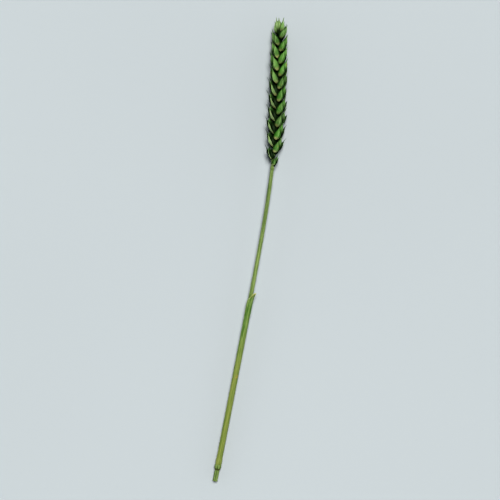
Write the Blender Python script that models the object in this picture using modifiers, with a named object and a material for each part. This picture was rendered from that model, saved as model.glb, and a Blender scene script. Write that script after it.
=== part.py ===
"""One ear of wheat on its cut stem, lying on its side.

Lengths are metres. +Z is up, and +Y runs from the cut end to the tip of the ear. The origin is on the
surface that the ear lies on, under the middle of its outline.
"""

import math
from collections import namedtuple

import bmesh
import bpy
from mathutils import Matrix, Vector

# The line that the stem and the ear's axis follow. Distances along it count from the foot of the ear,
# up towards the tip and down, as negative numbers, towards the cut end.
EAR_LENGTH = 0.090
STEM_LENGTH = 0.192
EAR_FOOT = Vector((0.013331, 0.049181, 0.0049))
TIP_LEAN = math.radians(0.6)
STEM_LEAN = math.radians(11.0)
TIP_RISE = math.radians(-0.7)
STEM_RISE = math.radians(1.04)
BEND_AT = 0.008
BEND_REACH = 0.045
LINE_STEP = 0.001

# The ear: two rows of spikelets, turned a little about its axis
SIDE_SPIKELETS = 21
INTERNODE = 0.0038
FIRST_SPIKELET = 0.0015
TOP_SPIKELET = 0.0806
FOOT_TURN = math.radians(12.0)
TIP_TURN = math.radians(-4.0)
ROW_OFFSET = 0.0003
TOP_FAN = 0.7
SPIKELET_SPREAD = math.radians(12.0)
UNEVEN_TURN = math.radians(3.0)
UNEVEN_SIZE = 0.04

# The ear's axis
RACHIS_FOOT_RADIUS = 0.00125
RACHIS_TIP_RADIUS = 0.0009
COLLAR_RADIUS = 0.0015
COLLAR_LENGTH = 0.0012

# The husks, each a boat with a keel and a short beak
Husk = namedtuple("Husk", "length width depth beak bow")
GLUME = Husk(length=0.0081, width=0.0045, depth=0.0024, beak=0.0011, bow=0.0004)
LEMMA = Husk(length=0.0093, width=0.0043, depth=0.0034, beak=0.0018, bow=0.0005)
HUSK_SIDES = 5
HUSK_RINGS = 5
HUSK_SHOULDER = 0.80
HUSK_FULLNESS = 0.70
BEAK_LEAN = 0.0004
INNER_SHARE = 0.55

# Where the husks sit in a spikelet: the start along it, the places across the fan and outwards, the
# angles by which each one splays and leans out, the turn of its back, and its size
Seat = namedtuple("Seat", "husk start across out splay lean turn size")
SEATS = (
    Seat(GLUME, 0.0000, -0.0020, 0.0001, -20.0, 4.0, -68.0, 1.00),
    Seat(GLUME, 0.0004, 0.0020, 0.0001, 20.0, 4.0, 68.0, 1.00),
    Seat(LEMMA, 0.0012, -0.0013, 0.0006, -14.0, 4.0, -36.0, 1.00),
    Seat(LEMMA, 0.0020, 0.0013, 0.0006, 14.0, 4.0, 36.0, 0.97),
    Seat(LEMMA, 0.0026, -0.0001, 0.0008, -1.0, 3.0, -4.0, 0.92),
)

# The core of a spikelet, from the knot on the axis up between its husks
CORE_SIZE = Vector((0.0044, 0.0084, 0.0042))
CORE_AT = Vector((-0.0006, 0.0034, 0.0))

# The stem: a bare top part, a part inside the leaf sheath, a swollen joint and the stub below it
STEM_GAP = 0.0003
STEM_TOP_RADIUS = 0.00105
STEM_MIDDLE_RADIUS = 0.00120
SHEATHED_RADIUS = 0.00102
STEM_POINTS = 44
JOINT_AT = -0.1830
JOINT_RADIUS = 0.00200
JOINT_REACH = 0.0017
STUB_RADIUS = 0.00145
HOLLOW_RADIUS = 0.00085
HOLLOW_DEPTH = 0.0060

# The leaf sheath round the stem, open along one side, with its cut-off blade at the top
SHEATH_TOP = -0.0800
SHEATH_FOOT = -0.1808
SHEATH_GAP = 0.00022
SHEATH_WALL = 0.00055
SHEATH_TAPER_REACH = 0.012
SHEATH_OPENING = math.radians(24.0)
SHEATH_SLIT_FACING = math.radians(205.0)
SHEATH_COLUMNS = 11
SHEATH_ROWS = 22
COLLAR_SLANT = 0.0016
BLADE_STUB = 0.0030
BLADE_FACING = math.radians(20.0)
BLADE_HALF_ANGLE = math.radians(62.0)
BLADE_FLARE = 0.0017
COLLAR_FLARE_REACH = 0.0035

# The floor trims the lowest husks to small flats
FLOOR_CUT = 0.010

EAR_GREEN = (0.105, 0.235, 0.035, 1.0)
STEM_GREEN = (0.260, 0.330, 0.100, 1.0)
SHEATH_GREEN = (0.150, 0.290, 0.060, 1.0)


def clear_scene():
    """Removes every object that the file opens with."""
    for thing in list(bpy.data.objects):
        bpy.data.objects.remove(thing)


def plain_material(name, colour, roughness):
    """A matt Principled material in one colour."""
    material = bpy.data.materials.new(name)
    material.use_nodes = True
    shader = material.node_tree.nodes["Principled BSDF"]
    shader.inputs["Base Color"].default_value = colour
    shader.inputs["Roughness"].default_value = roughness
    shader.inputs["Metallic"].default_value = 0.0
    return material


def collection_named(name):
    made = bpy.data.collections.new(name)
    bpy.context.scene.collection.children.link(made)
    return made


def uneven(index, kind):
    """A fixed number from -1 to 1 that differs from husk to husk."""
    wave = math.sin(12.9898 * index + 78.233 * kind) * 43758.5453
    return 2.0 * (wave - math.floor(wave)) - 1.0


def heading_at(along):
    """The direction of the line there: it leans and rises with the stem, and evens out in the ear."""
    share = 0.5 * (1.0 - math.tanh((along - BEND_AT) / BEND_REACH))
    lean = TIP_LEAN + (STEM_LEAN - TIP_LEAN) * share
    rise = TIP_RISE + (STEM_RISE - TIP_RISE) * share
    return Vector((math.sin(lean) * math.cos(rise), math.cos(lean) * math.cos(rise), math.sin(rise)))


def place_at(along):
    """The point of the line there, summed from the foot of the ear in short steps."""
    steps = max(1, round(abs(along) / LINE_STEP))
    step = along / steps
    place = EAR_FOOT.copy()
    for index in range(steps):
        place += heading_at((index + 0.5) * step) * step
    return place


def frame_at(along, turn=0.0):
    """A matrix whose X is the row direction, Y the line's and Z the fan's, turned about the line."""
    heading = heading_at(along)
    right = heading.cross(Vector((0.0, 0.0, 1.0))).normalized()
    up = right.cross(heading)
    row = right * math.cos(turn) + up * math.sin(turn)
    fan = up * math.cos(turn) - right * math.sin(turn)
    frame = Matrix((row, heading, fan)).transposed().to_4x4()
    frame.translation = place_at(along)
    return frame


def turn_at(along):
    """The ear's own twist there."""
    return FOOT_TURN + (TIP_TURN - FOOT_TURN) * along / EAR_LENGTH


def spikelet_size(index):
    """Full size in the middle, small at the foot, and less again towards the tip."""
    share = index / (SIDE_SPIKELETS - 1)
    foot_loss = 0.45 * math.exp(-share / 0.09)
    tip_loss = 0.20 * max(0.0, (share - 0.72) / 0.28) ** 1.5
    return 1.0 - foot_loss - tip_loss


def husk_object(name, husk, frame, size, group):
    """A sphere drawn out to a boat: full in its lower half, keeled on its back and ending in a beak."""
    shape = bmesh.new()
    bmesh.ops.create_uvsphere(shape, u_segments=HUSK_SIDES, v_segments=HUSK_RINGS, radius=1.0)
    for point in shape.verts:
        share = 0.5 * (1.0 + point.co.z)
        ring = math.hypot(point.co.x, point.co.y)
        girth = math.sin(math.pi * share**HUSK_SHOULDER) ** HUSK_FULLNESS if ring > 1e-4 else 0.0
        # A quarter turn puts a corner on the back, which is the keel, and a flat on the inside.
        angle = math.atan2(point.co.y, point.co.x) + math.pi / 2
        back = math.sin(angle) * girth * husk.depth / 2
        if back < 0.0:
            back *= INNER_SHARE
        beak = husk.beak if share > 1.0 - 1e-4 else 0.0
        point.co = Vector((
            math.cos(angle) * girth * husk.width / 2,
            share * husk.length + beak,
            back + husk.bow * math.sin(math.pi * share) + beak * BEAK_LEAN / husk.beak,
        )) * size
    bmesh.ops.recalc_face_normals(shape, faces=shape.faces)
    mesh = bpy.data.meshes.new(name)
    shape.to_mesh(mesh)
    shape.free()
    mesh.transform(frame)
    made = bpy.data.objects.new(name, mesh)
    group.objects.link(made)
    return made


def seat_frame(spikelet, seat, size, fan, unevenness):
    """The frame of one husk: its length along Y, its back towards Z."""
    start = Vector((seat.out, seat.start, seat.across * fan)) * size
    splay = math.radians(seat.splay) * fan + unevenness * UNEVEN_TURN
    lean = math.radians(seat.lean) + unevenness * UNEVEN_TURN / 2
    turn = math.radians(seat.turn)
    # In the spikelet's frame X points out of the ear, Y along the spikelet and Z across its fan.
    along = Vector((math.sin(lean), math.cos(lean) * math.cos(splay), math.sin(splay))).normalized()
    back = Vector((math.cos(turn), 0.0, math.sin(turn)))
    side = along.cross(back).normalized()
    back = side.cross(along)
    husk = Matrix((side, along, back)).transposed().to_4x4()
    husk.translation = start
    return spikelet @ husk


def spikelet_frame(index):
    """The frame of a side spikelet: it stands on its own side of the axis and leans away from it."""
    along = FIRST_SPIKELET + index * INTERNODE
    side = 1.0 if index % 2 == 0 else -1.0
    frame = frame_at(along, turn_at(along) + (0.0 if side > 0 else math.pi))
    spread = SPIKELET_SPREAD + uneven(index, 1) * UNEVEN_TURN
    return frame @ Matrix.Translation((ROW_OFFSET, 0.0, 0.0)) @ Matrix.Rotation(-spread, 4, "Z")


def add_spikelet(index, frame, size, fan, group):
    """A core on the axis and the husks that fan out round it, narrowly or fully."""
    shape = bmesh.new()
    bmesh.ops.create_uvsphere(shape, u_segments=HUSK_SIDES, v_segments=4, radius=0.5)
    bmesh.ops.scale(shape, verts=shape.verts, vec=CORE_SIZE * size)
    bmesh.ops.translate(shape, verts=shape.verts, vec=CORE_AT * size)
    mesh = bpy.data.meshes.new("core")
    shape.to_mesh(mesh)
    shape.free()
    mesh.transform(frame)
    group.objects.link(bpy.data.objects.new(f"core_{index}", mesh))
    for number, seat in enumerate(SEATS):
        own = size * seat.size * (1.0 + UNEVEN_SIZE * uneven(index, number + 11))
        husk_frame = seat_frame(frame, seat, size, fan, uneven(index, number + 2))
        husk_object(f"husk_{index}_{number}", seat.husk, husk_frame, own, group)


def rachis_radius(along):
    """The axis tapers to the tip and swells to a collar at its foot."""
    share = along / TOP_SPIKELET
    plain = RACHIS_FOOT_RADIUS + (RACHIS_TIP_RADIUS - RACHIS_FOOT_RADIUS) * share
    return plain + (COLLAR_RADIUS - RACHIS_FOOT_RADIUS) * math.exp(-((along / COLLAR_LENGTH) ** 2))


def tube_object(name, places, radii, group, sides_level):
    """A closed mesh tube through the places, from a curve with filled caps."""
    curve = bpy.data.curves.new(name, "CURVE")
    curve.dimensions = "3D"
    curve.bevel_depth = 1.0
    curve.bevel_resolution = sides_level
    curve.use_fill_caps = True
    spline = curve.splines.new("POLY")
    spline.points.add(len(places) - 1)
    for point, place, radius in zip(spline.points, places, radii, strict=True):
        point.co = (*place, 1.0)
        point.radius = radius
    drawn = bpy.data.objects.new(name + "_line", curve)
    group.objects.link(drawn)
    bpy.context.view_layer.update()
    mesh = bpy.data.meshes.new_from_object(drawn.evaluated_get(bpy.context.evaluated_depsgraph_get()))
    welded = bmesh.new()
    welded.from_mesh(mesh)
    bmesh.ops.remove_doubles(welded, verts=welded.verts, dist=1e-6)
    bmesh.ops.recalc_face_normals(welded, faces=welded.faces)
    welded.to_mesh(mesh)
    welded.free()
    mesh.name = name
    made = bpy.data.objects.new(name, mesh)
    made.matrix_world = drawn.matrix_world.copy()
    group.objects.link(made)
    bpy.data.objects.remove(drawn)
    return made


def add_rachis(group):
    """The ear's axis, stepping from side to side between its spikelets."""
    stations = [(0.0, 0.0)]
    for index in range(SIDE_SPIKELETS):
        side = 1.0 if index % 2 == 0 else -1.0
        stations.append((FIRST_SPIKELET + index * INTERNODE, side * ROW_OFFSET / 2))
    stations.append((TOP_SPIKELET + RACHIS_TIP_RADIUS, 0.0))
    places = [frame_at(along, turn_at(along)) @ Vector((step, 0.0, 0.0)) for along, step in stations]
    return tube_object("ear", places, [rachis_radius(along) for along, _ in stations], group, 2)


def apply_modifiers(thing):
    """Replaces the object's mesh with the evaluated one."""
    bpy.context.view_layer.update()
    graph = bpy.context.evaluated_depsgraph_get()
    mesh = bpy.data.meshes.new_from_object(thing.evaluated_get(graph))
    thing.modifiers.clear()
    thing.data = mesh


def fill_pockets(mesh):
    """Removes the inward shells round the small spaces that the husks close off between them."""
    shape = bmesh.new()
    shape.from_mesh(mesh)
    left = set(shape.faces)
    while left:
        shell, front = set(), [left.pop()]
        while front:
            face = front.pop()
            shell.add(face)
            near = {other for edge in face.edges for other in edge.link_faces} & left
            left -= near
            front.extend(near)
        volume = sum(face.calc_center_median().dot(face.normal) * face.calc_area() for face in shell)
        if volume < 0.0:
            bmesh.ops.delete(shape, geom=list(shell), context="FACES")
    shape.to_mesh(mesh)
    shape.free()


def trim_at_floor(thing, group):
    """Cuts the small flats that the thing lies on, with a block whose top is the floor."""
    shape = bmesh.new()
    bmesh.ops.create_cube(shape, size=1.0)
    bmesh.ops.scale(shape, verts=shape.verts, vec=(0.2, 0.6, FLOOR_CUT))
    bmesh.ops.translate(shape, verts=shape.verts, vec=(0.0, 0.0, -FLOOR_CUT / 2))
    mesh = bpy.data.meshes.new("floor_cutter")
    shape.to_mesh(mesh)
    shape.free()
    cutter = bpy.data.objects.new("floor_cutter", mesh)
    cutter.hide_render = True
    cutter.display_type = "WIRE"
    group.objects.link(cutter)
    add_boolean(thing, "DIFFERENCE", "MANIFOLD", other=cutter)


def add_boolean(thing, operation, solver, other=None, others=None):
    modifier = thing.modifiers.new(operation.lower(), "BOOLEAN")
    modifier.operation = operation
    modifier.solver = solver
    if others is not None:
        modifier.operand_type = "COLLECTION"
        modifier.collection = others
    else:
        modifier.object = other


def build_ear(parts, cutters, material):
    """The axis and all the husks joined in one solid, with small flats where it lies."""
    husks = collection_named("husks")
    for index in range(SIDE_SPIKELETS):
        size = spikelet_size(index)
        add_spikelet(index, spikelet_frame(index), size, size**0.5, husks)
    top = frame_at(TOP_SPIKELET, turn_at(TOP_SPIKELET) + math.pi / 2)
    top = top @ Matrix.Translation((-SEATS[-1].out, 0.0, 0.0))
    add_spikelet(SIDE_SPIKELETS, top, spikelet_size(SIDE_SPIKELETS - 1), TOP_FAN, husks)
    ear = add_rachis(parts)
    add_boolean(ear, "UNION", "MANIFOLD", others=husks)
    trim_at_floor(ear, cutters)
    apply_modifiers(ear)
    for husk in list(husks.objects):
        bpy.data.objects.remove(husk)
    bpy.data.collections.remove(husks)
    fill_pockets(ear.data)
    ear.data.materials.clear()
    ear.data.materials.append(material)
    return ear


def inner_radius(along):
    """Thin under the ear, thicker down to the sheath's top, and thinner again inside the sheath."""
    bare = min(1.0, along / SHEATH_TOP)
    plain = STEM_TOP_RADIUS + (STEM_MIDDLE_RADIUS - STEM_TOP_RADIUS) * bare
    inside = min(1.0, max(0.0, (SHEATH_TOP - along) / SHEATH_TAPER_REACH))
    return plain + (SHEATHED_RADIUS - plain) * inside


def stem_radius(along):
    """The plain radius, swollen at the joint, with a stouter stub below that."""
    plain = inner_radius(along)
    below = 0.5 * (1.0 - math.tanh((along - JOINT_AT) / (JOINT_REACH / 2)))
    plain += (STUB_RADIUS - plain) * below
    swell = math.exp(-(((along - JOINT_AT) / JOINT_REACH) ** 4))
    return plain + (JOINT_RADIUS - plain) * swell


def stem_stations():
    """Even steps down the plain part, and short ones over the joint."""
    plain_end = JOINT_AT + 2 * JOINT_REACH
    plain = STEM_POINTS - 10
    found = [-STEM_GAP + (plain_end + STEM_GAP) * k / (plain - 1) for k in range(plain)]
    joint = 10
    found += [plain_end - (plain_end + STEM_LENGTH) * (k + 1) / joint for k in range(joint)]
    return found


def build_stem(parts, cutters, material):
    """The culm, with the short hollow that its cut end shows."""
    stations = stem_stations()
    stem = tube_object("stem", [place_at(s) for s in stations], [stem_radius(s) for s in stations], parts, 2)
    ends = (-STEM_LENGTH - HOLLOW_DEPTH / 2, -STEM_LENGTH + HOLLOW_DEPTH)
    bore = tube_object("stem_hollow", [place_at(s) for s in ends], [HOLLOW_RADIUS] * 2, cutters, 2)
    bore.hide_render = True
    bore.display_type = "WIRE"
    add_boolean(stem, "DIFFERENCE", "MANIFOLD", other=bore)
    trim_at_floor(stem, cutters)
    stem.data.materials.append(material)
    stem.data.shade_smooth()
    stem.data.set_sharp_from_angle(angle=math.radians(50.0))
    return stem


def build_sheath(parts, material):
    """The rolled leaf base: a grid wrapped round the stem, flared where its blade was cut off."""
    shape = bmesh.new()
    bmesh.ops.create_grid(shape, x_segments=SHEATH_COLUMNS, y_segments=SHEATH_ROWS, size=1.0)
    for point in shape.verts:
        across, up = point.co.x, 0.5 * (point.co.y + 1.0)
        angle = across * (math.pi - SHEATH_OPENING / 2)
        facing = SHEATH_SLIT_FACING + math.pi + angle
        blade = max(0.0, 1.0 - ((angle - BLADE_FACING) / BLADE_HALF_ANGLE) ** 2)
        top = SHEATH_TOP + COLLAR_SLANT * math.cos(angle) + BLADE_STUB * blade
        along = SHEATH_FOOT + (top - SHEATH_FOOT) * up
        nearness = max(0.0, 1.0 - (top - along) / COLLAR_FLARE_REACH)
        radius = inner_radius(along) + SHEATH_GAP + BLADE_FLARE * blade * nearness**1.6
        frame = frame_at(along)
        point.co = frame @ Vector((radius * math.cos(facing), 0.0, radius * math.sin(facing)))
    # The grid's faces look in at the stem, so a wall on their far side lies outside them.
    mesh = bpy.data.meshes.new("leaf_sheath")
    shape.to_mesh(mesh)
    shape.free()
    sheath = bpy.data.objects.new("leaf_sheath", mesh)
    parts.objects.link(sheath)
    wall = sheath.modifiers.new("wall", "SOLIDIFY")
    wall.thickness = SHEATH_WALL
    wall.offset = -1.0
    sheath.data.materials.append(material)
    sheath.data.shade_smooth()
    return sheath


def main():
    clear_scene()
    parts = collection_named("wheat_ear")
    cutters = collection_named("cutters")
    build_ear(parts, cutters, plain_material("ear_husk", EAR_GREEN, 0.6))
    build_stem(parts, cutters, plain_material("stem", STEM_GREEN, 0.5))
    build_sheath(parts, plain_material("sheath", SHEATH_GREEN, 0.5))


main()
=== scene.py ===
"""The looks of an ear of wheat on its cut stem, lying on a pale floor.

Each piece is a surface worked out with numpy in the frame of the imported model, in metres.
"""

from collections import namedtuple

import bpy
import numpy as np
from bpy.props import FloatProperty, FloatVectorProperty, IntProperty, PointerProperty
from bpy.types import Operator, Panel, PropertyGroup
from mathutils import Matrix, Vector


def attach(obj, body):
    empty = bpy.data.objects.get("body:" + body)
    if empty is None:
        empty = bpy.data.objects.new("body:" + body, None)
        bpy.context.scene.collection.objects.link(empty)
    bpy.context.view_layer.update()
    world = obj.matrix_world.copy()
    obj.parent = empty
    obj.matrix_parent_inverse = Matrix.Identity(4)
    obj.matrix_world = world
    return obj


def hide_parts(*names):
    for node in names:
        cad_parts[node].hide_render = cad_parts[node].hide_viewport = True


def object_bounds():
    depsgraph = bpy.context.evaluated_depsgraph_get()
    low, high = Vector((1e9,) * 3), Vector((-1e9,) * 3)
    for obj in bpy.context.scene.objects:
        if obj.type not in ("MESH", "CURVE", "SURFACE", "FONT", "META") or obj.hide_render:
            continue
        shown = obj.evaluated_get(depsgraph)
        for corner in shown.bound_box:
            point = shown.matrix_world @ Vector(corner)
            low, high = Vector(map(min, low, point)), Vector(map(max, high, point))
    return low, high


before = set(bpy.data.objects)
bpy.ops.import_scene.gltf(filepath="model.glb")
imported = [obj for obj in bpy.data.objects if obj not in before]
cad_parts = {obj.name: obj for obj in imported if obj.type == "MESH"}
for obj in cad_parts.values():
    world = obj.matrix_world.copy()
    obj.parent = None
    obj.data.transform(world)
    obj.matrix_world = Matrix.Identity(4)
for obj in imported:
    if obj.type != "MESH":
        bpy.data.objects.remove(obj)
SOLID_LOW, SOLID_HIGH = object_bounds()

bl_info = {
    "name": "Wheat ear",
    "version": (1, 0, 0),
    "blender": (4, 5, 0),
    "location": "3D View > Sidebar > Wheat ear",
    "description": "Gives an ear of wheat its thin husks, ridged stem, rolled leaf sheath and colours",
    "category": "Add Mesh",
}

# What a piece stands for, by the first word of its name: the node that it replaces, and its slot
STANDS_FOR = {"ear": ("ear", "ear_husk"), "stem": ("stem", "stem"), "sheath": ("leaf_sheath", "sheath")}

# The line of the stalk. Distances along it count from the foot of the ear, up towards the tip and, as
# negative numbers, down towards the cut end.
EAR_FOOT = np.array((0.013331, 0.049181, 0.0049))
EAR_LENGTH = 0.090
STEM_LENGTH = 0.192
TIP_LEAN, STEM_LEAN = np.radians((0.6, 11.0))
TIP_RISE, STEM_RISE = np.radians((-0.7, 1.04))
BEND_AT, BEND_REACH = 0.008, 0.045
LINE_KNOTS = np.linspace(-0.20, 0.10, 1201)

# The two rows of spikelets
SIDE_SPIKELETS = 21
INTERNODE = 0.0038
FIRST_SPIKELET = 0.0015
TOP_SPIKELET = 0.0806
FOOT_TURN, TIP_TURN = np.radians((12.0, -4.0))
ROW_OFFSET = 0.0003
TOP_FAN = 0.7
SPREAD, UNEVEN_TURN = np.radians((12.0, 3.0))
UNEVEN_SIZE = 0.055
FOOT_LOSS, FOOT_LOSS_REACH = 0.45, 0.09
TIP_LOSS, TIP_LOSS_REACH = 0.20, 0.28

# A husk's seat in its spikelet: the start along it, the places across the fan and outwards, the angles
# by which it splays and leans out, the turn of its back, its size and its number
Seat = namedtuple("Seat", "start across out splay lean turn size number")
GLUME_SEATS = (
    Seat(0.0000, -0.0020, 0.0001, -20.0, 6.0, -68.0, 1.00, 0),
    Seat(0.0004, 0.0020, 0.0001, 20.0, 6.0, 68.0, 1.00, 1),
)
FLORET_SEATS = (
    Seat(0.0012, -0.0013, 0.0006, -14.0, 8.0, -36.0, 1.00, 2),
    Seat(0.0020, 0.0013, 0.0006, 14.0, 9.0, 36.0, 0.97, 3),
    Seat(0.0026, -0.0001, 0.0006, -1.0, 5.0, -4.0, 0.92, 4),
)
WANDER_TURN, WANDER_SPLAY = np.radians((11.0, 3.5))

# Low on the ear its twist stands the first husks edge on: the added turn by seat number, how much slimmer
# they look, how far they lean out, and the shares of the ear between which this fades
FIRST_TURN_AT_FOOT = {0: np.radians(52.0), 2: np.radians(48.0)}
EDGE_ON_NARROWING, EDGE_ON_LEAN = 0.30, np.radians(7.0)
EDGE_ON_FADE = (0.35, 0.85)

# Husk shapes. Keel and nerve are heights as shares of the half depth, fold is how far the back is folded
# along its keel rather than rounded, wrap is the angle either side of the keel, shift is the keel's place
# off the middle.
Husk = namedtuple("Husk", "length width depth beak bow fold keel nerve nerves wrap shift")
GLUME = Husk(0.0083, 0.0046, 0.0027, 0.0016, 0.0004, 0.70, 0.16, 0.050, 10, 1.70, 0.20)
LEMMA = Husk(0.0094, 0.0043, 0.0034, 0.0024, 0.0005, 0.45, 0.08, 0.035, 10, 2.00, 0.0)
PALEA = Husk(0.0086, 0.0035, -0.0024, 0.0003, 0.0003, 0.0, -0.06, 0.0, 4, 1.50, 0.0)
SHOULDER, FULLNESS, TIP_FULLNESS = 0.78, 0.60, 0.44
BEAK_GIRTH, BEAK_LEAN, UNEVEN_BEAK = 0.46, 0.0002, 0.40
FOLD_POWER, CREST_ANGLE = 1.3, 0.13
INNER_SHARE = 0.55
TIP_BEND, TIP_SWAY, TIP_BEND_FADE = 0.0004, 0.00022, (0.45, 1.3)
TIP_STEP = 0.6
INNER_POINTS, EDGE_WALL = 13, 0.30
UNEVEN_WIDTH = 0.05
WAVE_TURNS, WAVE_SLANT, UNEVEN_SLANT = 1.4, 2.2, 0.3
RIPPLE_TURNS, RIPPLE_SLANT, RIPPLE_SHARE = 3.1, 4.1, 0.45

# How near to a side of the solids' box a point is eased back, and how far it stays off the floor
SOFT_LIMITS = (0.00025, 0.00025, 0.0010)
FLOOR_HAIR = 0.00002

# The kinds of scale: shape, seats, and colours, which are the share of the pale nerves, the tone, the
# share of the length that others cover, darkened there with painted shade, which is below zero where none
# do, how deep the painted shade on the turned-under edges is, and how much painted light the scale gets
# where it
# stands edge on: a painted highlight on glumes, painted shade on lemmas and paleas
Kind = namedtuple("Kind", "piece material husk seats nerve_share tone hidden tucked edge_on_pale")
GLUMES = Kind("ear_glumes", "glume_chaff", GLUME, GLUME_SEATS, 0.24, 0.52, -0.50, 0.90, 0.95)
LEMMAS = Kind("ear_lemmas", "lemma_chaff", LEMMA, FLORET_SEATS, 0.25, 0.44, 0.25, 0.72, -0.55)
PALEAS = Kind("ear_paleas", "palea_chaff", PALEA, FLORET_SEATS, 0.15, 0.40, 0.45, 0.30, -0.30)
FOOT_TO_TIP_TONE, TIP_PALE, UNEVEN_PALE = 0.55, 0.30, 0.12
FOOT_CREAM, UNEVEN_CREAM = 0.75, 0.50
# Painted shade on a scale's inner face: the share of its colour that it keeps, and how much more it keeps
# towards the tip
INNER_LIGHT, INNER_TIP_LIGHT = 0.25, 0.45

# Where a change starts and where it is whole: in shares of the ear's length, of a scale's length, and
# of its width
# UNCOVERED_FADE, COVER_REACH, INNER_FADE and TUCK_FADE place the painted shade on covered feet, inner faces
# and turned-under edges
UNCOVERED_FADE, TIP_PALE_FADE = (0.80, 0.95), (0.88, 1.0)
COVER_REACH, INNER_FADE = 0.4, (0.45, 0.80)
TUCK_FADE = (0.17, 0.44)

# The axis of the ear, the core of each spikelet and the hairs. A stretch is a start, an end and the
# count of the rings between them, and a fade is where a change starts and where it is whole.
AXIS_ENDS = (-0.0013, TOP_SPIKELET + 0.0012)
AXIS_STRETCHES = ((-0.0012, 0.0030, 36), (0.0031, TOP_SPIKELET + 0.0008, 290))
AXIS_SIDES = 24
AXIS_FADE, AXIS_STEP_FADE, AXIS_TONE_FADE = (-0.0010, 0.0035), (0.0, 0.0040), (0.0, 0.010)
# How straw-coloured the axis's foot is, and how much painted shade darkens it above the foot
AXIS_FOOT_TONE, AXIS_PAINTED_SHADE = 0.72, 0.60
AXIS_HALF_WIDTH, AXIS_FLATNESS = 0.00115, 0.80
AXIS_TIP_LOSS, AXIS_SHOULDER = 0.00030, 0.00020
AXIS_SUNK = 0.00006
AXIS_COLLAR, AXIS_COLLAR_REACH = 0.00022, 0.0008
AXIS_FURROWS, FURROW_DEPTH = 8, 0.03
CORE_HALF = np.array((0.0024, 0.0044, 0.0026))
CORE_START = np.array((0.0002, -0.0010, 0.0))
CORE_RIBS, RIB_SHARE, RIB_TWIST = 9, 0.045, 2.0
CORE_RINGS, CORE_SIDES = 15, 36
HAIR_RADIUS, HAIR_PATCH, HAIR_FAN = 0.000022, 0.0006, 0.75
HAIR_RISE, HAIR_LEAN, HAIR_BEND, UNEVEN_HAIR = 0.75, 0.62, 0.25, 0.25

# The stem and its joint
STEM_TOP_RADIUS = 0.00105
STEM_MIDDLE_RADIUS = 0.00120
SHEATHED_RADIUS = 0.00102
JOINT_AT, JOINT_RADIUS, JOINT_REACH = -0.1830, 0.00200, 0.0017
JOINT_SMOOTH_REACH, JOINT_SMOOTHNESS = 1.2 * JOINT_REACH, 0.6
DARK_RINGS, DARK_RING_FADE, DARK_RING_DEPTH = (0.0019, -0.0017), (0.0042, 0.0012), 0.75
STUB_RADIUS = 0.00145
HOLLOW_RADIUS, HOLLOW_DEPTH, HOLLOW_LOSS, HOLLOW_RINGS = 0.00085, 0.0060, 0.25, 10
RIM_ROUNDING, RIM_BEVEL = 0.0001, 0.00005
STEM_ENDS = (0.0010, -STEM_LENGTH + HOLLOW_DEPTH)
STEM_STRETCHES = (
    (0.0007, JOINT_AT + 0.0050, 240),
    (JOINT_AT + 0.0048, JOINT_AT - 0.0048, 56),
    (JOINT_AT - 0.0052, -STEM_LENGTH + RIM_ROUNDING, 12),
)
STEM_SIDES, STEM_TWIST = 90, 12.0
STEM_WAVES = ((0.012, 410.0), (0.008, 1130.0))

# The leaf sheath, with the stub of its blade, its ligule and its claws. The sheath's stretches and fades
# are shares of its length or width. A tear is a height, a count round the line and a phase.
SHEATH_TOP, SHEATH_FOOT = -0.0800, -0.1808
SHEATH_GAP, SHEATH_WALL, SHEATH_TAPER_REACH = 0.00022, 0.00055, 0.012
SHEATH_OPENING = np.radians(24.0)
SHEATH_SLIT_FACING = np.radians(205.0)
SHEATH_COLUMNS = 121
SHEATH_STRETCHES = ((0.0, 0.05, 24), (0.06, 0.93, 80), (0.932, 1.0, 50))
SHEATH_EDGE_THINNING, SHEATH_TOP_THINNING, SHEATH_EDGE_FADE = 0.60, 0.50, (0.80, 1.0)
SHEATH_TEAR, SHEATH_FRAY, SHEATH_WAVE = 0.00025, 0.00018, 0.00002
SHEATH_TONE, SHEATH_TOP_TONE, SHEATH_TONE_FADE = 0.40, 0.25, (0.97, 1.0)
TORN_DRYNESS, TORN_FADE = 0.8, (0.988, 1.0)
COLLAR_SLANT = 0.0016
BLADE_STUB, BLADE_FLARE = 0.0026, 0.0017
BLADE_FACING, BLADE_HALF_ANGLE = np.radians((20.0, 62.0))
COLLAR_FLARE_REACH = 0.0035
FOOT_OVERLAP, FOOT_SWELLING, FOOT_SWELLING_REACH = 0.0011, 0.00020, 0.0048
LIGULE_HEIGHT, LIGULE_FOOT, LIGULE_WALL = 0.0010, 0.0012, 0.00008
LIGULE_GAP, LIGULE_FLARE, LIGULE_WAVE = 0.00005, 0.00013, 0.00005
LIGULE_TEARS = ((0.00020, 9.0, 0.4), (0.00012, 23.0, 0.0), (0.00007, 47.0, 0.0))
LIGULE_ROWS, LIGULE_COLUMNS, LIGULE_HALF_ANGLE = 14, 97, 2.6
CLAW_RADIUS, CLAW_OUT, CLAW_IN, CLAW_DROP = 0.00034, 0.00062, 0.00012, 0.0001
CLAW_START, CLAW_ANGLE, CLAW_ARCH, CLAW_HEIGHT = 0.86, 1.15, 0.0007, 1.3
CLAW_RINGS, CLAW_SIDES, CLAW_TIP_STEP = 18, 12, 0.8

# How a green surface is drawn: how many streaks lie across and along it and how strong they are, the
# scale and depth of its patches, how thin its lines are, the scale, limit and share of its dry flecks,
# its roughness and what a streak adds to it, and the strength and height of its relief
Cover = namedtuple(
    "Cover",
    "across along strength patch_scale patch_depth thinness fleck_scale fleck_limit fleck_share"
    " roughness streak_roughness relief relief_height",
)
HUSK_COVER = Cover(32.0, 1.6, 0.6, 260.0, 0.3, 7.0, 520.0, 0.655, 0.50, 0.42, 0.22, 0.6, 0.00005)
STALK_COVER = Cover(24.0, 9.0, 0.9, 150.0, 0.8, 2.5, 330.0, 0.67, 0.32, 0.34, 0.20, 0.5, 0.00004)
REFLECTION = 0.12
STALK_SEED, SEED_STEP = 0.3, 71.0

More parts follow.
